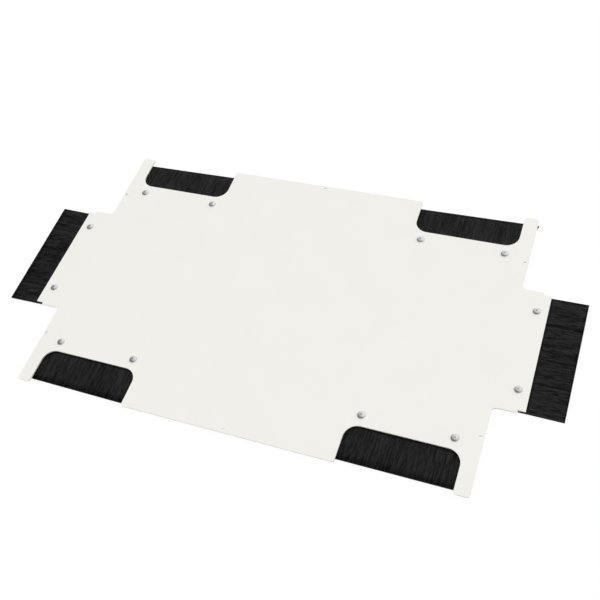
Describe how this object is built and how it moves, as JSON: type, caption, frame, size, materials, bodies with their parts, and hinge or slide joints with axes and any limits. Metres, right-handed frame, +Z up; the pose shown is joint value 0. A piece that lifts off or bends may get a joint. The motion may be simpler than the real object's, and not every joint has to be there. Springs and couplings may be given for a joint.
{
  "type": "brush cable entry panel",
  "caption": "Flat sheet-steel cable entry panel with notched long sides and end tabs, each closed by a black bristle strip screwed underneath, so cables pass and draught and dust stay out.",
  "frame": {"origin": "centre of the sheet's underside, midway between the edge holes", "axes": "+X along the panel's long side, +Y towards its rear long side, +Z up out of the sheet's top face"},
  "size_m": [0.767, 0.4, 0.0131],
  "materials": {
    "panel_white": "fine-textured white powder coat",
    "holder_black": "black anodised",
    "back_steel": "galvanised",
    "wire_steel": "galvanised",
    "bristle_black": "satin black filament",
    "screw_zinc": "bright zinc",
    "nut_zinc": "bright zinc"
  },
  "bodies": {
    "root": {"panel": "panel_white", "rear_left_holder": "holder_black", "rear_left_back": "back_steel", "rear_left_wire": "wire_steel", "rear_left_bristles": "bristle_black", "rear_left_screws": "screw_zinc", "rear_left_nuts": "nut_zinc", "rear_right_holder": "holder_black", "rear_right_back": "back_steel", "rear_right_wire": "wire_steel", "rear_right_bristles": "bristle_black", "rear_right_screws": "screw_zinc", "rear_right_nuts": "nut_zinc", "front_left_holder": "holder_black", "front_left_back": "back_steel", "front_left_wire": "wire_steel", "front_left_bristles": "bristle_black", "front_left_screws": "screw_zinc", "front_left_nuts": "nut_zinc", "front_right_holder": "holder_black", "front_right_back": "back_steel", "front_right_wire": "wire_steel", "front_right_bristles": "bristle_black", "front_right_screws": "screw_zinc", "front_right_nuts": "nut_zinc", "left_end_holder": "holder_black", "left_end_back": "back_steel", "left_end_wire": "wire_steel", "left_end_bristles": "bristle_black", "left_end_screws": "screw_zinc", "left_end_nuts": "nut_zinc", "right_end_holder": "holder_black", "right_end_back": "back_steel", "right_end_wire": "wire_steel", "right_end_bristles": "bristle_black", "right_end_screws": "screw_zinc", "right_end_nuts": "nut_zinc"}
  },
  "joints": []
}
